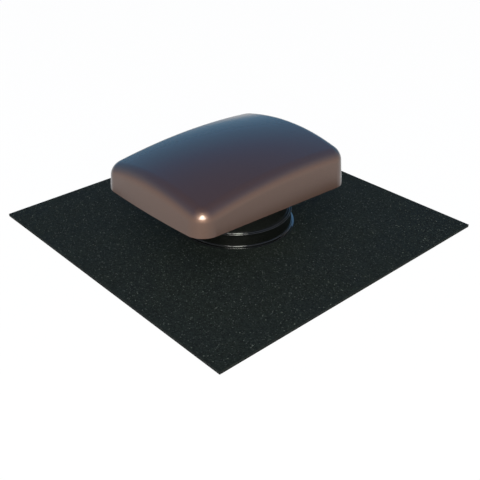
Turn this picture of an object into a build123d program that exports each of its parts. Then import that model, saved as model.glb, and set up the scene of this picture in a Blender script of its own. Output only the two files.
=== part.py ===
from build123d import *
from math import atan2, degrees, radians, tan
import os

os.makedirs("parts", exist_ok=True)

# A roof ventilator: a square felt apron carries a short round collar, a pipe turns in the collar,
# and a drafted, double-crowned hood stands over the mouth of the pipe.
# The origin is the middle of the apron's underside. +Z is up, and -Y is the down-slope side,
# over which the hood reaches furthest.

# Clearances
running_gap = 0.3        # pieces that turn in or lift off each other
seat_gap = 0.05          # pieces that are pushed into each other and stay there
felt_cut_gap = 0.3       # a felt ply and the moulding in its hole
cut_margin = 1.0         # how far a cutting body reaches past what it cuts

# Felt apron
apron_side = 500.0
backing_thickness = 1.5
felt_thickness = 2.5
apron_top = backing_thickness + felt_thickness

# Riser pipe
pipe_radius = 80.0       # outside, a 160 mm drain pipe
pipe_wall = 3.2
pipe_chamfer = 1.2
pipe_bore_radius = pipe_radius - pipe_wall

# Flange plate under the felt, and the base collar that plugs into it round the pipe
ledge_step = 2.8         # how far the ledge under the pipe reaches inside the pipe's bore
ledge_thickness = 4.0
collar_clearance = 0.9   # round the pipe, below the seal
seal_width = 1.3         # the pocket that the seal stands in
collar_wall = 1.4        # outside the seal's pocket
collar_flare = 1.6       # from the top of the collar to its foot
collar_rise = 17.5       # above the felt
flange_width = 34.8
collar_plug_wall = 4.0   # the plug through the flange plate, outside its bore
mastic_width = 12.0
mastic_thickness = 0.6
bore_radius = pipe_bore_radius - ledge_step
plug_radius = bore_radius + collar_plug_wall
pipe_bottom = ledge_thickness + running_gap
collar_bore_radius = pipe_radius + collar_clearance
seal_pocket_radius = collar_bore_radius + seal_width
collar_top_radius = seal_pocket_radius + collar_wall
collar_foot_radius = collar_top_radius + collar_flare
collar_height = apron_top + collar_rise
flange_radius = collar_foot_radius + flange_width

# Clamp ring over the felt, round the collar's foot
clamp_width = 4.0
clamp_thickness = 1.5
clamp_upstand_height = 3.5
clamp_upstand_wall = 1.2
clamp_taper = 0.5
clamp_radius = collar_foot_radius + clamp_width

# Seal in the collar and the ring that holds it down
seal_height = 5.6
seal_lip_count = 2
seal_lip_depth = 0.7
retainer_overhang = 0.7
retainer_thickness = 3.9 # of its outer bead
retainer_bead_rise = 1.1 # the inner bead above the outer one
retainer_bead_width = 1.6
retainer_groove = 0.5    # depth of the groove between the beads
retainer_skirt = 2.6
retainer_taper = 0.6
retainer_radius = collar_top_radius + retainer_overhang
seal_top = collar_height - retainer_skirt - seat_gap
seal_bottom = seal_top - seal_height
pocket_floor = seal_bottom - seat_gap

# Hood, outside: its plan at the reference height of the rim, and its crown
hood_half_width = 110.5
hood_half_length = 145.0
hood_corner = 28.0
hood_end_bulge = 2.4
hood_centre_y = -15.9
rim_stand = 44.1         # the rim's reference height above the ring on the collar
rim_slope = -0.037       # the rim is lower at the up-slope end
hood_depth = 68.5        # from the rim's reference height up to the crown
hood_draft = 5.0         # degrees
crown_offset = 29.4      # the crown's highest point, up-slope of the hood's middle
crown_drop_side = 17.4
crown_drop_end = 11.0
hood_edge_round = 22.0
hood_wall = 2.6
rim_bead_wall = 1.5
rim_bead_height = 4.0
rib_depth = 5.0
rib_wall = 2.0
boss_wall = 2.6
crown_margin = 1.35      # how far the crown's block reaches past the hood, as a share
rim_height = collar_height + retainer_thickness + rim_stand
crown_height = rim_height + hood_depth
crown_y = hood_centre_y + crown_offset
crown_radius_across = (hood_half_width ** 2 + crown_drop_side ** 2) / (2 * crown_drop_side)
crown_radius_along = (hood_half_length ** 2 + crown_drop_end ** 2) / (2 * crown_drop_end)
form_base = rim_height - 2 * hood_half_length * abs(rim_slope)
draft_run = tan(radians(hood_draft))
edge_round = min(hood_edge_round, hood_corner - hood_depth * draft_run)

# Cap ring in the mouth of the pipe
head_space = 42.0        # from the mouth of the pipe up to the hood's crown
spigot_depth = 13.0
spigot_wall = 2.4
cap_thickness = 3.4
cap_rim = 7.4            # from the pipe's outside to the grille's rebate
grille_seat_width = 3.6
grille_rebate_depth = 1.6
pipe_top = crown_height - head_space
spigot_radius = pipe_bore_radius - seat_gap
cap_top = pipe_top + cap_thickness
grille_rebate_radius = pipe_radius - cap_rim
cap_bore_radius = grille_rebate_radius - grille_seat_width
rebate_floor = cap_top - grille_rebate_depth

# Four brackets on the outside of the pipe, each with a post for the hood
bracket_width = 15.0
bracket_wall = 3.0
bracket_drop = 24.0      # height of the pad that is screwed to the pipe
bracket_web = 2.2        # two webs, with the screws between them
bracket_web_depth = 14.0
post_reach = 13.34       # from the pipe's outside to the middle of a post
post_radius = 4.2
post_headroom = 5.0      # from a post's tip to the hood's ceiling
post_point = 2.4         # length of the tapered tip
post_point_inset = 1.2
screw_inset = 5.0        # from the pad's ends to the screws
screw_shank_radius = 1.7
screw_head_radius = 3.4
screw_head_height = 2.0
screw_head_taper = 0.8
screw_grip = 3.0         # how far a screw reaches past the pipe's wall
pad_radius = pipe_radius + seat_gap
post_circle = pipe_radius + post_reach
post_x = post_circle / 2 ** 0.5
post_places = [(x, y) for x in (-post_x, post_x) for y in (-post_x, post_x)]
pad_bottom = pipe_top - bracket_drop
screw_heights = [pad_bottom + screw_inset, pipe_top - bracket_wall - screw_inset]

# Insect grille in the cap ring
grille_thickness = 2.4
grille_rim_width = 3.6
grille_hub_radius = 9.0
grille_ring_count = 7
grille_ring_width = 1.8
grille_spoke_count = 8
grille_spoke_width = 2.2

# Rubber grommets on the posts, and the hood's bosses over them
grommet_wall = 2.0
grommet_flange_radius = 8.8
grommet_flange_height = 3.0
grommet_taper = 0.8
grommet_stop = 7.0       # from the grommet's end to the post's tip
grommet_radius = post_radius + seat_gap + grommet_wall
boss_bore_radius = grommet_radius + running_gap
boss_radius = boss_bore_radius + boss_wall
boss_bottom = pipe_top + grommet_flange_height + running_gap


def ceiling_height(x, y):
    """The height of the hood's inner face over a point, by the two arcs of its crown."""
    across = crown_radius_across - (crown_radius_across ** 2 - x ** 2) ** 0.5
    along = crown_radius_along - (crown_radius_along ** 2 - (y - crown_y) ** 2) ** 0.5
    return crown_height - hood_wall - across - along


post_top = min(ceiling_height(x, y) for x, y in post_places) - post_headroom
grommet_top = post_top - grommet_stop


def revolved(*points):
    """A solid turned about Z from radius and height pairs."""
    outline = Polyline(*[(r, 0, z) for r, z in points], close=True)
    return revolve(make_face(outline), Axis.Z)


def ring(inner, outer, bottom, top):
    return revolved((inner, bottom), (outer, bottom), (outer, top), (inner, top))


def disc_at(x, y, radius, bottom, top):
    middle = (bottom + top) / 2
    return Pos(x, y, middle) * Cylinder(radius, top - bottom)


def circular_edges(solid, radius, height):
    """The edges of a turned solid at one radius and height."""
    found = solid.edges().filter_by(GeomType.CIRCLE)
    found = found.filter_by(lambda e: abs(e.radius - radius) < 0.01)
    return found.filter_by(lambda e: abs(e.center().Z - height) < 0.01)


def apron_ply(bottom, thickness, hole_radius):
    sheet = Pos(0, 0, bottom + thickness / 2) * Box(apron_side, apron_side, thickness)
    top = bottom + thickness
    return sheet - disc_at(0, 0, hole_radius, bottom - cut_margin, top + cut_margin)


def make_flange_plate():
    """A flat ring under the felt, level with the backing ply."""
    return ring(plug_radius + seat_gap, flange_radius, 0, backing_thickness)


def make_base_collar():
    """A plug through the flange plate, the ledge under the pipe and the tapered upstand."""
    return revolved(
        (bore_radius, 0),
        (plug_radius, 0),
        (plug_radius, backing_thickness),
        (collar_foot_radius, backing_thickness),
        (collar_foot_radius, apron_top + clamp_upstand_height),
        (collar_top_radius, collar_height),
        (seal_pocket_radius, collar_height),
        (seal_pocket_radius, pocket_floor),
        (collar_bore_radius, pocket_floor),
        (collar_bore_radius, ledge_thickness),
        (bore_radius, ledge_thickness),
    )


def make_mastic_ring():
    """Sealing strip bedded in the felt's underside, over the flange."""
    middle = (collar_foot_radius + flange_radius) / 2
    inner = middle - mastic_width / 2
    outer = middle + mastic_width / 2
    return ring(inner, outer, backing_thickness, backing_thickness + mastic_thickness)


def make_clamp_ring():
    """An angle section: a thin foot on the felt and an upstand against the collar."""
    inner = collar_foot_radius + seat_gap
    shoulder = inner + clamp_upstand_wall
    foot_top = apron_top + clamp_thickness
    upstand_top = apron_top + clamp_upstand_height
    return revolved(
        (inner, apron_top),
        (clamp_radius, apron_top),
        (clamp_radius, foot_top - clamp_taper),
        (clamp_radius - clamp_taper, foot_top),
        (shoulder, foot_top),
        (shoulder, upstand_top - clamp_taper),
        (shoulder - clamp_taper, upstand_top),
        (inner, upstand_top),
    )


def make_pipe_seal():
    """A rubber ring with pointed lips that face the pipe."""
    outer = seal_pocket_radius - seat_gap
    lip = pipe_radius + running_gap
    root = lip + seal_lip_depth
    pitch = seal_height / seal_lip_count
    points = [(outer, seal_bottom), (outer, seal_top), (root, seal_top)]
    for i in range(seal_lip_count):
        bottom = seal_top - (i + 1) * pitch
        points.append((lip, bottom + pitch / 2))
        points.append((root, bottom))
    return revolved(*points)


def make_seal_retainer():
    """The two-beaded ring on top of the collar; its skirt sits in the pocket, on the seal."""
    inner = pipe_radius + running_gap
    skirt_radius = seal_pocket_radius - seat_gap
    shoulder = collar_height + retainer_thickness
    top = shoulder + retainer_bead_rise
    waist = inner + retainer_bead_width
    return revolved(
        (inner, seal_top),
        (skirt_radius, seal_top),
        (skirt_radius, collar_height),
        (retainer_radius, collar_height),
        (retainer_radius, shoulder - retainer_taper),
        (retainer_radius - retainer_taper, shoulder),
        (retainer_radius - 2 * retainer_taper, shoulder),
        (waist, shoulder - retainer_groove),
        (waist, top - retainer_taper),
        (waist - retainer_taper, top),
        (inner + retainer_taper, top),
        (inner, top - retainer_taper),
    )


def make_riser_pipe():
    body = ring(pipe_bore_radius, pipe_radius, pipe_bottom, pipe_top)
    return chamfer(circular_edges(body, pipe_radius, pipe_bottom), pipe_chamfer)


def make_cap_ring():
    """A ring on the pipe's end that plugs into it, with a rebate for the grille."""
    inner = spigot_radius - spigot_wall
    plug_bottom = pipe_top - spigot_depth
    return revolved(
        (inner, plug_bottom),
        (spigot_radius, plug_bottom),
        (spigot_radius, pipe_top),
        (pipe_radius, pipe_top),
        (pipe_radius, cap_top),
        (grille_rebate_radius, cap_top),
        (grille_rebate_radius, rebate_floor),
        (cap_bore_radius, rebate_floor),
        (cap_bore_radius, pipe_top),
        (inner, pipe_top),
    )


def bracket_turns():
    return [Rot(0, 0, 45 + 90 * i) for i in range(4)]


def make_brackets():
    """A pad curved to the pipe, an arm on two webs and an upright post, four times."""
    far = post_circle + bracket_width / 2
    pad_length = 2 * bracket_wall + pad_radius
    pad = Pos(pad_length / 2, 0, pipe_top - bracket_drop / 2)
    pad *= Box(pad_length, bracket_width, bracket_drop)
    pad &= ring(pad_radius, pad_radius + bracket_wall, pad_bottom, pipe_top)
    for height in screw_heights:
        pad -= screw_axis(height) * Cylinder(screw_shank_radius, 8 * bracket_wall)
    arm_bottom = pipe_top - bracket_wall
    arm = Pos(far / 2, 0, (arm_bottom + pipe_top) / 2) * Box(far, bracket_width, bracket_wall)
    arm -= disc_at(0, 0, pad_radius, arm_bottom - cut_margin, pipe_top + cut_margin)
    start = pad_radius + bracket_wall / 2
    web = Polyline(
        (start, 0, arm_bottom),
        (post_circle + post_radius, 0, arm_bottom),
        (start, 0, arm_bottom - bracket_web_depth),
        close=True,
    )
    web = extrude(make_face(web), bracket_web / 2, both=True)
    web_y = (bracket_width - bracket_web) / 2
    post = disc_at(post_circle, 0, post_radius, pipe_top, post_top)
    post = chamfer(post.edges().group_by(Axis.Z)[-1], post_point, post_point_inset)
    bracket = pad + arm + post
    bracket += Pos(0, web_y, 0) * web
    bracket += Pos(0, -web_y, 0) * web
    return Compound(children=[turn * bracket for turn in bracket_turns()])


def screw_axis(height):
    """A place on the pipe's outside, with its Z axis pointing away from the pipe."""
    return Pos(pipe_radius, 0, height) * Rot(0, 90, 0)


def drilled_for_screws(body):
    for turn in bracket_turns():
        for height in screw_heights:
            hole = Cylinder(screw_shank_radius, 4 * pipe_wall)
            body -= turn * screw_axis(height) * hole
    return body


def make_bracket_screws():
    """Screws with tapered heads, through the pads and the pipe's wall."""
    seat = seat_gap + bracket_wall
    tip = -pipe_wall - screw_grip
    shank = Pos(0, 0, (seat + tip) / 2) * Cylinder(screw_shank_radius - seat_gap, seat - tip)
    head = Pos(0, 0, seat + screw_head_height / 2)
    head *= Cylinder(screw_head_radius, screw_head_height)
    head = chamfer(head.edges().group_by(Axis.Z)[-1], screw_head_taper)
    screw = shank + head
    screws = []
    for turn in bracket_turns():
        for height in screw_heights:
            screws.append(turn * screw_axis(height) * screw)
    return Compound(children=screws)


def make_grille():
    """Concentric rings on radial spokes, in the cap ring's rebate."""
    bottom = rebate_floor + seat_gap
    top = bottom + grille_thickness
    rim = grille_rebate_radius - seat_gap
    rim_inner = rim - grille_rim_width
    body = ring(rim_inner, rim, bottom, top)
    body += disc_at(0, 0, grille_hub_radius, bottom, top)
    pitch = (rim_inner - grille_hub_radius) / (grille_ring_count + 1)
    for i in range(grille_ring_count):
        middle = grille_hub_radius + (i + 1) * pitch
        body += ring(middle - grille_ring_width / 2, middle + grille_ring_width / 2, bottom, top)
    spoke_start = grille_hub_radius / 2
    spoke_length = rim_inner + grille_rim_width / 2 - spoke_start
    for i in range(grille_spoke_count):
        place = Pos(spoke_start + spoke_length / 2, 0, (bottom + top) / 2)
        spoke = place * Box(spoke_length, grille_spoke_width, top - bottom)
        body += Rot(0, 0, 360 / grille_spoke_count * i) * spoke
    return body


def make_grommets():
    """Flanged sleeves on the posts, one solid each."""
    bore = post_radius + seat_gap
    base = pipe_top
    sleeves = []
    for x, y in post_places:
        flange_top = base + grommet_flange_height
        sleeve = revolved(
            (bore, base),
            (grommet_flange_radius, base),
            (grommet_flange_radius, flange_top),
            (grommet_radius, flange_top),
            (grommet_radius, grommet_top),
            (bore, grommet_top),
        )
        top_rim = circular_edges(sleeve, grommet_radius, grommet_top)
        sleeve = chamfer(top_rim, grommet_taper)
        sleeves.append(Pos(x, y, 0) * sleeve)
    return Compound(children=sleeves)


def hood_plan(inset):
    """The plan at rim height: straight sides, slightly bowed ends and round corners."""
    x = hood_half_width - hood_corner
    y = hood_half_length - hood_corner
    outline = Curve() + [
        Line((x, -y), (x, y)),
        ThreePointArc((x, y), (0, y + hood_end_bulge), (-x, y)),
        Line((-x, y), (-x, -y)),
        ThreePointArc((-x, -y), (0, -y - hood_end_bulge), (x, -y)),
    ]
    core = make_face(outline)
    grown = offset(core, amount=hood_corner - inset, kind=Kind.ARC)
    return Pos(0, hood_centre_y, 0) * grown


def crown_solid(inset):
    """Everything below the double-curved top: an arc across, swung about a far axis along."""
    half = hood_half_width * crown_margin
    radius = crown_radius_across - inset
    centre = crown_height - crown_radius_across
    side = centre + (radius ** 2 - half ** 2) ** 0.5
    floor = form_base - crown_height / 2
    profile = Curve() + [
        ThreePointArc((-half, 0, side), (0, 0, centre + radius), (half, 0, side)),
        Line((half, 0, side), (half, 0, floor)),
        Line((half, 0, floor), (-half, 0, floor)),
        Line((-half, 0, floor), (-half, 0, side)),
    ]
    face = Pos(0, crown_y, 0) * make_face(profile)
    axis = Axis((0, crown_y, crown_height - crown_radius_along), (1, 0, 0))
    sweep = degrees(atan2(hood_half_length * crown_margin, crown_radius_along))
    face = face.rotate(axis, -sweep)
    return revolve(face, axis, 2 * sweep)


def hood_form(inset):
    """The hood as a solid block, this far inside its outer face all over."""
    spread = (rim_height - form_base) * draft_run
    plan = Pos(0, 0, form_base) * hood_plan(inset - spread)
    block = extrude(plan, crown_height - form_base + hood_wall, taper=hood_draft)
    block = block & crown_solid(inset)
    top = block.faces().sort_by(Axis.Z)[-1]
    return fillet(top.edges(), edge_round - inset)


def below_rim(lift=0.0):
    """Everything under the sloping plane of the rim, raised by lift."""
    tilt = degrees(atan2(rim_slope, 1))
    depth = crown_height
    block = Pos(0, 0, -depth / 2) * Box(4 * hood_half_width, 4 * hood_half_length, depth)
    return Pos(0, hood_centre_y, rim_height + lift) * Rot(tilt, 0, 0) * block


def hood_ribs(inner):
    """Stiffening ribs along the ceiling and walls, through the bosses."""
    tall = 2 * crown_height
    grid = None
    for place in (-post_x, post_x):
        along = Pos(place, 0, 0) * Box(rib_wall, 4 * hood_half_length, tall)
        across = Pos(0, place, 0) * Box(4 * hood_half_width, rib_wall, tall)
        grid = along + across if grid is None else grid + along + across
    return (grid & inner) - hood_form(hood_wall + rib_depth)


def make_hood():
    outer = hood_form(0)
    inner = hood_form(hood_wall)
    bead = (inner - hood_form(hood_wall + rim_bead_wall)) & below_rim(rim_bead_height)
    bosses = None
    for x, y in post_places:
        boss = disc_at(x, y, boss_radius, boss_bottom, crown_height)
        bosses = boss if bosses is None else bosses + boss
    shell = outer - inner
    shell += bead
    shell += hood_ribs(inner)
    shell += bosses & inner
    for x, y in post_places:
        bore_top = post_top + running_gap
        shell -= disc_at(x, y, boss_bore_radius, boss_bottom - cut_margin, bore_top)
    return shell - below_rim()


def save(shape, name):
    shape.label = name
    export_step(shape, f"parts/{name}.step")


mastic = make_mastic_ring()
felt = apron_ply(backing_thickness, felt_thickness, collar_foot_radius + felt_cut_gap)
save(apron_ply(0, backing_thickness, flange_radius + felt_cut_gap), "apron_backing")
save(felt - mastic, "apron_felt")
save(mastic, "mastic_ring")
save(make_flange_plate(), "flange_plate")
save(make_base_collar(), "base_collar")
save(make_clamp_ring(), "felt_clamp_ring")
save(make_pipe_seal(), "pipe_seal")
save(make_seal_retainer(), "seal_retaining_ring")
save(drilled_for_screws(make_riser_pipe()), "riser_pipe")
save(drilled_for_screws(make_cap_ring()), "pipe_cap_ring")
save(make_brackets(), "hood_brackets")
save(make_bracket_screws(), "bracket_screws")
save(make_grille(), "insect_grille")
save(make_grommets(), "post_grommets")
save(make_hood(), "hood_shell")
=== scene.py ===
"""A roof ventilator on a felt apron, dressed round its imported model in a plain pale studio."""
import math
import random

import bmesh
import bpy
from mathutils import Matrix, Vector


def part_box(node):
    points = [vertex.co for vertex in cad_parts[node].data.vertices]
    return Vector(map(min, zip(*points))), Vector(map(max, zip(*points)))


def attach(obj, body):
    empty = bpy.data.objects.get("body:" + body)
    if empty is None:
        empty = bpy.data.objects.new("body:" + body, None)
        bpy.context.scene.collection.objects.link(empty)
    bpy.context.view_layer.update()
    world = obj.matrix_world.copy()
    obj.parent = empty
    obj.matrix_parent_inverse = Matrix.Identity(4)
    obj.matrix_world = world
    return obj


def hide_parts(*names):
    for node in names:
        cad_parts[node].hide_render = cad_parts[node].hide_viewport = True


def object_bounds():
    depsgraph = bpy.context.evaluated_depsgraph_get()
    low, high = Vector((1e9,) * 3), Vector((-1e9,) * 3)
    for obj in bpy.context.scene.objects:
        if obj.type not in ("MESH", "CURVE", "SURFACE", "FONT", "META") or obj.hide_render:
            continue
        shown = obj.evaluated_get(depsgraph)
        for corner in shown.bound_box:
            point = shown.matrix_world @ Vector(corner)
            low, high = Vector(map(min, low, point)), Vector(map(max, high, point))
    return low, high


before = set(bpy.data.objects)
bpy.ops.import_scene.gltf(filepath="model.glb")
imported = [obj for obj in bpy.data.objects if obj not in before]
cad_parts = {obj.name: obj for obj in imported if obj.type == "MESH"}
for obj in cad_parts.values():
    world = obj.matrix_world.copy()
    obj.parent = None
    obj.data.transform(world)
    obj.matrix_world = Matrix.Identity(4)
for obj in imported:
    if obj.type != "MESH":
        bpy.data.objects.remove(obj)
cad_low, cad_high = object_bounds()

MM = 0.001

# The photograph's view: the camera looks at a point on the apron near the collar
AZIMUTH = 47.72
ELEVATION = 30.875
DISTANCE = 1.09799
TARGET = Vector((0.04549, -0.03294, 0.0))
LENS = 55.86
SENSOR = 36.0

# The floor lies just under the apron, and this share of it is plain white to the camera
FLOOR_HALF = 6.0
FLOOR_GAP = 0.2 * MM
FLOOR_WHITE = 0.965

# The horizon's light: the height where it ends, as a share of straight up, and its fade on
# the far side, from none to full, where -1 is straight away from the camera
HORIZON_TOP = 0.65
HORIZON_FADE = (-0.85, -0.1)

# Turned rings: the steps round them and along each round edge of their section, and the
# turn from which a corner is shaded as sharp
RING_STEPS = 256
EDGE_STEPS = 8
SHARP = math.radians(30)

# They stay off the felt's edge and the clamp ring
GRANULES = 14000
GRANULE_MM = (0.5, 1.25)
BARE_EDGE = 1.5 * MM
BARE_BY_RING = 0.8 * MM

# A granule's shape: its corners and how far they stray in radians, and then ranges of the
# corners' radius and height and the top's height, and its depth, as shares of its size
CORNERS = 4
STRAY = 0.4
CORNER_RADIUS = (0.7, 1.15)
CORNER_HEIGHT = (-0.05, 0.3)
TOP_HEIGHT = (0.5, 0.8)
DEPTH = 0.4

# Levels and radii of the model that the loose pieces are set to
_, felt_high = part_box("apron_felt")
_, collar_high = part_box("base_collar")
ring_low, ring_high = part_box("seal_retaining_ring")
clamp_low, clamp_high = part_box("felt_clamp_ring")


def direction(azimuth, elevation):
    """The unit vector from the target towards a camera or lamp at these angles in degrees."""
    a, e = math.radians(azimuth), math.radians(elevation)
    return Vector((math.sin(a) * math.cos(e), -math.cos(a) * math.cos(e), math.sin(e)))


def add_object(name, data):
    obj = bpy.data.objects.new(name, data)
    bpy.context.scene.collection.objects.link(obj)
    return obj


def aim(obj, azimuth, elevation, distance):
    """Puts a camera or lamp at a distance from the target and turns it to face the target."""
    place = TARGET + direction(azimuth, elevation) * distance
    obj.location = place
    obj.rotation_euler = (TARGET - place).to_track_quat("-Z", "Y").to_euler()


# Materials

class Nodes:
    """The node tree of a material or the world, with short calls that add and join nodes."""

    def __init__(self, owner, output):
        self.owner = owner
        owner.use_nodes = True
        self.tree = owner.node_tree
        self.tree.nodes.clear()
        self.output = self.add(output)

    def add(self, kind, inputs=None, **properties):
        """A node with its properties set first, and then its inputs fed by name or number."""
        node = self.tree.nodes.new(kind)
        for key, value in properties.items():
            setattr(node, key, value)
        for key, value in (inputs or {}).items():
            self.feed(value, node.inputs[key])
        return node

    def feed(self, value, socket):
        """Joins another node's output to a socket, or sets the socket to a colour or number."""
        if isinstance(value, bpy.types.NodeSocket):
            self.tree.links.new(value, socket)
        elif isinstance(value, tuple):
            socket.default_value = (*value, 1.0)
        else:
            socket.default_value = value

    def noise(self, scale, detail, roughness=0.5):
        """Cloudy noise from 0 to 1, with its scale in waves per metre."""
        inputs = {
            "Vector": self.place(),
            "Scale": scale,
            "Detail": detail,
            "Roughness": roughness,
        }
        return self.add("ShaderNodeTexNoise", inputs).outputs["Fac"]

    def cells(self, scale):
        """Cells with a tone each, in Color, and the way from their middles, in Distance."""
        return self.add("ShaderNodeTexVoronoi", {"Vector": self.place(), "Scale": scale}).outputs

    def place(self):
        """Position in metres in the row frame at rest, so a pose doesn't slide the pattern."""
        return self.add("ShaderNodeTexCoord").outputs["Object"]

    def spread(self, source, low, high, to_low=0.0, to_high=1.0, **properties):
        """Stretches the values from low to high over a new range, clamped to it."""
        inputs = {
            "Value": source,
            "From Min": low,
            "From Max": high,
            "To Min": to_low,
            "To Max": to_high,
        }
        return self.add("ShaderNodeMapRange", inputs, **properties).outputs["Result"]

    def calculate(self, operation, first, second):
        node = self.add("ShaderNodeMath", {0: first, 1: second}, operation=operation)
        return node.outputs["Value"]

    def ramp(self, source, *stops):
        """A colour ramp of (position, colour) stops."""
        node = self.add("ShaderNodeValToRGB", {"Fac": source})
        elements = node.color_ramp.elements
        while len(elements) < len(stops):
            elements.new(0.5)
        for element, (position, colour) in zip(elements, stops):
            element.position = position
            element.color = (*colour, 1.0)
        return node.outputs["Color"]

    def mix(self, factor, first, second):
        """Two colours, as values or sockets, mixed by a socket."""
        inputs = {"Factor": factor, "A": first, "B": second}
        return self.add("ShaderNodeMix", inputs, data_type="RGBA").outputs["Result"]

    def bump(self, height, distance, strength, normal=None):
        """Relief of a depth in metres, laid over the relief that normal brings."""
        inputs = {"Height": height, "Distance": distance, "Strength": strength}
        if normal:
            inputs["Normal"] = normal
        return self.add("ShaderNodeBump", inputs).outputs["Normal"]

    def surface(self, colour, roughness, normal, **values):
        """Ends a material in a principled shader. An underscore in a name stands for a space."""
        inputs = {"Base Color": colour, "Roughness": roughness, "Normal": normal}
        for name, value in values.items():
            inputs[name.replace("_", " ")] = value
        shader = self.add("ShaderNodeBsdfPrincipled", inputs)
        self.feed(shader.outputs["BSDF"], self.output.inputs["Surface"])
        return self.owner

    def blend(self, share, first, second):
        """Ends a material or the world in two shaders, with this share of the second."""
        inputs = {"Fac": share, 1: first, 2: second}
        shader = self.add("ShaderNodeMixShader", inputs)
        self.feed(shader.outputs["Shader"], self.output.inputs["Surface"])
        return self.owner


def new_material(name):
    return Nodes(bpy.data.materials.new(name), "ShaderNodeOutputMaterial")


def granule_felt():
    """Crushed slate granules in bitumen: each cell is one granule with its own tone."""
    n = new_material("granule_felt")
    fine = n.cells(900.0)
    coarse = n.cells(420.0)
    clumps = n.spread(n.noise(330.0, detail=2.0, roughness=0.7), 0.36, 0.66)
    tone = n.ramp(
        fine["Color"],
        (0.0, (0.003, 0.0035, 0.0033)),
        (0.45, (0.008, 0.0105, 0.0095)),
        (0.8, (0.013, 0.0165, 0.015)),
        (0.97, (0.026, 0.031, 0.028)),
        (1.0, (0.06, 0.068, 0.06)),
    )
    patches = n.spread(n.noise(14.0, detail=4.0), 0.35, 0.65)
    tinted = n.mix(patches, (0.009, 0.0115, 0.0125), (0.01, 0.0125, 0.0095))
    evened = n.mix(n.spread(patches, 0.0, 1.0, to_low=0.3, to_high=0.45), tone, tinted)
    dark = n.mix(patches, (0.002, 0.0026, 0.0024), (0.0032, 0.0038, 0.0028))
    clumped = n.mix(clumps, dark, (0.015, 0.02, 0.0155))
    colour = n.mix(n.spread(patches, 0.0, 1.0, to_low=0.5, to_high=0.6), evened, clumped)
    specks = n.spread(coarse["Distance"], 0.0, 0.25, to_low=1.0, to_high=0.0)
    few = n.spread(n.noise(260.0, detail=1.0), 0.66, 0.72)
    colour = n.mix(n.calculate("MULTIPLY", specks, few), colour, (0.04, 0.046, 0.04))
    grains = n.bump(fine["Distance"], distance=0.0006, strength=0.9)
    relief = n.bump(n.noise(300.0, detail=4.0), distance=0.0005, strength=0.35, normal=grains)
    return n.surface(colour, 0.8, relief, Specular_IOR_Level=0.08)


def loose_granule():
    """Each loose granule has its own tone, from near black to pale grey-green."""
    n = new_material("loose_granule")
    colour = n.ramp(
        n.add("ShaderNodeNewGeometry").outputs["Random Per Island"],
        (0.0, (0.002, 0.0025, 0.0022)),
        (0.4, (0.008, 0.0105, 0.009)),
        (0.8, (0.02, 0.026, 0.022)),
        (1.0, (0.055, 0.064, 0.054)),
    )
    relief = n.bump(n.noise(3000.0, detail=2.0), distance=0.0002, strength=0.6)
    return n.surface(colour, 0.7, relief, Specular_IOR_Level=0.2)


def plain_bitumen():
    n = new_material("plain_bitumen")
    grains = n.noise(1400.0, detail=2.0)
    tone = n.spread(grains, 0.4, 0.65)
    colour = n.mix(tone, (0.003, 0.003, 0.0032), (0.011, 0.0112, 0.0108))
    relief = n.bump(grains, distance=0.0003, strength=0.7)
    return n.surface(colour, 0.9, relief, Specular_IOR_Level=0.12)


def moulded_black(name, colour, roughness, grain, coat=0.0, specular=0.5):
    """Black plastic: a faint flow pattern in tone and gloss, and a fine moulded grain."""
    n = new_material(name)
    flow = n.noise(18.0, detail=5.0)
    paler = tuple(1.35 * c for c in colour)
    shade = n.mix(n.spread(flow, 0.3, 0.7), colour, paler)
    gloss = n.spread(flow, 0.3, 0.7, to_low=roughness * 0.85, to_high=roughness * 1.2)
    relief = n.bump(n.noise(grain, detail=2.0), distance=0.00002, strength=0.3)
    return n.surface(
        shade, gloss, relief,
        Specular_IOR_Level=specular, Coat_Weight=coat, Coat_Roughness=0.09,
    )


def black_rubber():
    """Matt rubber with a little dust on it."""
    n = new_material("black_rubber")
    dust = n.spread(n.noise(60.0, detail=6.0), 0.45, 0.75)
    colour = n.mix(dust, (0.013, 0.013, 0.013), (0.03, 0.03, 0.029))
    relief = n.bump(n.noise(2200.0, detail=2.0), distance=0.0001, strength=0.5)
    return n.surface(colour, 0.72, relief)


def bright_steel():
    n = new_material("bright_steel")
    marks = n.noise(900.0, detail=3.0)
    gloss = n.spread(marks, 0.3, 0.7, to_low=0.22, to_high=0.4)
    relief = n.bump(marks, distance=0.00005, strength=0.4)
    return n.surface((0.55, 0.55, 0.54), gloss, relief, Metallic=1.0)


def bronze_paint():
    """Metallic bronze-brown with fine flakes under a clear coat with a faint orange peel."""
    n = new_material("bronze_paint")
    flakes = n.ramp(
        n.cells(2600.0)["Color"],
        (0.0, (0.107, 0.059, 0.039)),
        (0.6, (0.131, 0.072, 0.049)),
        (1.0, (0.164, 0.091, 0.064)),
    )
    cloud = n.spread(n.noise(9.0, detail=3.0), 0.35, 0.65)
    colour = n.mix(cloud, flakes, (0.129, 0.071, 0.049))
    peel = n.bump(n.noise(420.0, detail=2.0), distance=0.00009, strength=0.25)
    return n.surface(
        colour, 0.42, peel,
        Metallic=0.95, Specular_Tint=(0.16, 0.18, 0.22),
        Coat_Weight=1.0, Coat_Roughness=0.2, Coat_IOR=1.5,
    )


def pale_floor():
    """Seen as almost white, with the object's shadow, and lit like a pale floor."""
    n = new_material("pale_floor")
    rays = n.add("ShaderNodeLightPath").outputs
    seen = n.calculate("MAXIMUM", rays["Is Camera Ray"], rays["Is Glossy Ray"])
    seen = n.calculate("MAXIMUM", seen, rays["Is Transmission Ray"])
    lit = n.add("ShaderNodeBsdfDiffuse", {"Color": (0.8, 0.8, 0.8)})
    white = n.add("ShaderNodeEmission", {"Color": (1.0, 1.0, 1.0)})
    share = n.calculate("MULTIPLY", seen, FLOOR_WHITE)
    return n.blend(share, lit.outputs["BSDF"], white.outputs["Emission"])


# Studio

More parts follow.
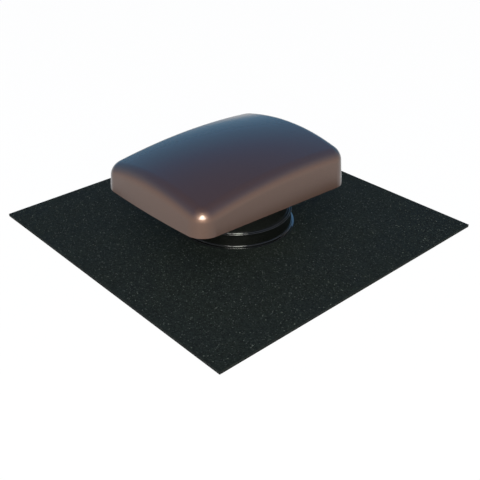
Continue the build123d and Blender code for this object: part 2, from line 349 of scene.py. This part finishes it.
def make_camera():
    data = bpy.data.cameras.new("camera")
    data.lens = LENS
    data.sensor_width = SENSOR
    data.clip_start = 0.01
    camera = add_object("camera", data)
    aim(camera, AZIMUTH, ELEVATION, DISTANCE)
    bpy.context.scene.camera = camera


def make_world():
    """White to the camera. As light and in the gloss, a cool sky over a pale horizon."""
    world = bpy.data.worlds.new("studio")
    bpy.context.scene.world = world
    n = Nodes(world, "ShaderNodeOutputWorld")
    way = n.add("ShaderNodeTexCoord").outputs["Generated"]
    height = n.add("ShaderNodeSeparateXYZ", {0: way}).outputs["Z"]
    cool = n.ramp(
        height,
        (0.0, (0.21, 0.47, 0.72)),
        (0.4, (0.2, 0.46, 0.79)),
        (0.55, (0.2, 0.37, 0.71)),
        (0.8, (0.26, 0.31, 0.53)),
        (1.0, (0.28, 0.28, 0.42)),
    )
    # The horizon's light fades out upwards, and on the object's far side from the camera
    low = n.spread(height, HORIZON_TOP, 0.0)
    both = {0: way, 1: direction(AZIMUTH, 0.0)}
    facing = n.add("ShaderNodeVectorMath", both, operation="DOT_PRODUCT").outputs["Value"]
    ahead = n.spread(facing, *HORIZON_FADE, interpolation_type="SMOOTHSTEP")
    colour = n.mix(n.calculate("MULTIPLY", low, ahead), cool, (1.08, 0.96, 0.93))
    sky = n.add("ShaderNodeBackground", {"Color": colour})
    white = n.add("ShaderNodeBackground", {"Color": (1.0, 1.0, 1.0)})
    seen = n.add("ShaderNodeLightPath").outputs["Is Camera Ray"]
    n.blend(seen, sky.outputs["Background"], white.outputs["Background"])


def make_lamp(
    name, azimuth, elevation, distance, size, power, colour, height=None, in_gloss=True
):
    """A round soft lamp, or an oval one where it has a height of its own."""
    data = bpy.data.lights.new(name, "AREA")
    data.shape = "ELLIPSE" if height else "DISK"
    data.size = size
    if height:
        data.size_y = height
    data.energy = power
    data.color = colour
    lamp = add_object(name, data)
    lamp.visible_glossy = in_gloss
    aim(lamp, azimuth, elevation, distance)


def make_lamps():
    """The key and the band show in the gloss. The other two only fill and lift."""
    make_lamp(
        "key", azimuth=51.0, elevation=32.0, distance=4.0,
        size=1.3, power=100.0, colour=(0.95, 1.0, 0.84),
    )
    make_lamp(
        "band", azimuth=50.0, elevation=21.0, distance=4.0,
        size=3.0, height=0.8, power=110.0, colour=(1.0, 0.98, 0.9),
    )
    make_lamp(
        "fill", azimuth=51.0, elevation=32.0, distance=4.0,
        size=2.2, power=16.0, colour=(1.0, 0.96, 0.95), in_gloss=False,
    )
    make_lamp(
        "overhead", azimuth=40.0, elevation=66.0, distance=3.0,
        size=2.4, power=33.0, colour=(1.0, 0.97, 0.93), in_gloss=False,
    )


def make_floor():
    mesh = bpy.data.meshes.new("floor")
    level = cad_low.z - FLOOR_GAP
    signs = ((-1, -1), (1, -1), (1, 1), (-1, 1))
    corners = [(x * FLOOR_HALF, y * FLOOR_HALF, level) for x, y in signs]
    mesh.from_pydata(corners, [], [(0, 1, 2, 3)])
    floor = add_object("floor", mesh)
    mesh.materials.append(pale_floor())


# Pieces

def finish_piece(obj, material, body, slot, *nodes):
    obj.data.materials.clear()
    obj.data.materials.append(material)
    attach(obj, body)
    if nodes:
        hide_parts(*nodes)


def corner_turn(section, k):
    """How far the outline turns at one of its points."""
    a, b, c = (Vector(section[i % len(section)]) for i in (k - 1, k, k + 1))
    return (b - a).angle(c - b)


def turned(name, section):
    """A closed ring turned from (radius, height) points, smooth but for its sharp corners."""
    mesh = bpy.data.meshes.new(name)
    work = bmesh.new()
    rows = []
    for i in range(RING_STEPS):
        a = 2 * math.pi * i / RING_STEPS
        rows.append([work.verts.new((r * math.cos(a), r * math.sin(a), z)) for r, z in section])
    count = len(section)
    sharp = [corner_turn(section, k) > SHARP for k in range(count)]
    for i in range(RING_STEPS):
        here, there = rows[i], rows[(i + 1) % RING_STEPS]
        for k in range(count):
            m = (k + 1) % count
            work.faces.new((here[k], there[k], there[m], here[m]))
        for k in range(count):
            if sharp[k]:
                work.edges.get((here[k], there[k])).smooth = False
    bmesh.ops.recalc_face_normals(work, faces=work.faces)
    for face in work.faces:
        face.smooth = True
    work.to_mesh(mesh)
    work.free()
    return add_object(name, mesh)


def arc(r, z, radius, start, end):
    """Points of a round edge about (r, z), from one angle to another in degrees."""
    degrees = [start + (end - start) * i / EDGE_STEPS for i in range(EDGE_STEPS + 1)]
    angles = [math.radians(degree) for degree in degrees]
    return [(r + radius * math.cos(a), z + radius * math.sin(a)) for a in angles]


def make_retaining_ring(material):
    """The collar's top ring: a lower outer bead and a higher inner one, with a groove between."""
    outer = ring_high.x
    top = ring_high.z
    lip = collar_high.z
    inner = 80.3 * MM
    skirt = 82.15 * MM
    bead = 0.75 * MM
    shoulder = top - 1.1 * MM
    waist = 81.9 * MM
    edge = 0.5 * MM
    section = [(inner, ring_low.z), (skirt, ring_low.z), (skirt, lip)]
    section += arc(outer - bead, lip + bead, bead, -90, 0)
    section += arc(outer - bead, shoulder - bead, bead, 0, 120)
    section += arc(waist - bead, top - bead, bead, -20, 90)
    section += arc(inner + edge, top - edge, edge, 90, 180)
    ring = turned("retaining_ring", section)
    finish_piece(ring, material, "base", "collar_black", "seal_retaining_ring")


def make_clamp_ring(material):
    """The ring on the felt: a foot that falls outwards and an upstand that leans on the collar."""
    inner = 85.25 * MM
    outer = clamp_high.x - 0.5 * MM
    base = clamp_low.z
    foot = base + 1.5 * MM
    fall = 0.3 * MM
    rim = 0.32 * MM
    shoulder = inner + 1.25 * MM
    lean = 0.28 * MM
    crown = 0.65 * MM
    section = [(inner, base), (outer, base)]
    section += arc(outer - rim, foot - fall - rim, rim, -5, 78)
    section += [(shoulder + lean, foot)]
    section += arc(shoulder - crown, clamp_high.z - crown, crown, 8, 90)
    section += [(inner, clamp_high.z)]
    ring = turned("clamp_ring", section)
    finish_piece(ring, material, "base", "collar_black", "felt_clamp_ring")


def make_granules(material):
    """Loose angular granules bedded in the felt, each a small irregular eight-sided stone."""
    rng = random.Random(7)
    half = felt_high.x - BARE_EDGE
    keep_out = clamp_high.x + BARE_BY_RING
    count = GRANULES
    points, faces = [], []
    while len(points) < (CORNERS + 2) * count:
        x, y = rng.uniform(-half, half), rng.uniform(-half, half)
        if math.hypot(x, y) < keep_out:
            continue
        size = rng.uniform(*GRANULE_MM) * MM
        turn = rng.uniform(0, math.pi)
        start = len(points)
        for i in range(CORNERS):
            a = turn + 2 * math.pi / CORNERS * i + rng.uniform(-STRAY, STRAY)
            r = size * rng.uniform(*CORNER_RADIUS)
            z = felt_high.z + size * rng.uniform(*CORNER_HEIGHT)
            points.append((x + r * math.cos(a), y + r * math.sin(a), z))
        points.append((x, y, felt_high.z + size * rng.uniform(*TOP_HEIGHT)))
        points.append((x, y, felt_high.z - size * DEPTH))
        top, foot = start + CORNERS, start + CORNERS + 1
        for i in range(CORNERS):
            here, there = start + i, start + (i + 1) % CORNERS
            faces.append((here, there, top))
            faces.append((there, here, foot))
    mesh = bpy.data.meshes.new("felt_granules")
    mesh.from_pydata(points, [], faces)
    obj = add_object("felt_granules", mesh)
    finish_piece(obj, material, "base", "granule_felt")


def dress_cad_nodes(materials):
    for name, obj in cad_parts.items():
        obj.data.materials.clear()
        obj.data.materials.append(materials[name])


def main():
    bpy.context.scene.view_settings.view_transform = "Standard"
    make_camera()
    make_world()
    make_floor()
    make_lamps()
    collar = moulded_black(
        "collar_gloss", (0.0012, 0.0014, 0.001),
        roughness=0.1, grain=1500.0, coat=0.8, specular=0.85,
    )
    pipe = moulded_black(
        "pipe_satin", (0.004, 0.0045, 0.004), roughness=0.15, grain=1100.0, specular=0.3
    )
    bracket = moulded_black(
        "bracket_matt", (0.012, 0.012, 0.013), roughness=0.5, grain=1800.0
    )
    flange = moulded_black(
        "flange_matt", (0.03, 0.03, 0.031), roughness=0.55, grain=1300.0
    )
    rubber = black_rubber()
    dress_cad_nodes({
        "apron_felt": granule_felt(),
        "apron_backing": plain_bitumen(),
        "mastic_ring": rubber,
        "flange_plate": flange,
        "base_collar": collar,
        "felt_clamp_ring": collar,
        "pipe_seal": rubber,
        "seal_retaining_ring": collar,
        "riser_pipe": pipe,
        "pipe_cap_ring": bracket,
        "hood_brackets": bracket,
        "bracket_screws": bright_steel(),
        "insect_grille": bracket,
        "post_grommets": rubber,
        "hood_shell": bronze_paint(),
    })
    make_retaining_ring(collar)
    make_clamp_ring(collar)
    make_granules(loose_granule())


main()
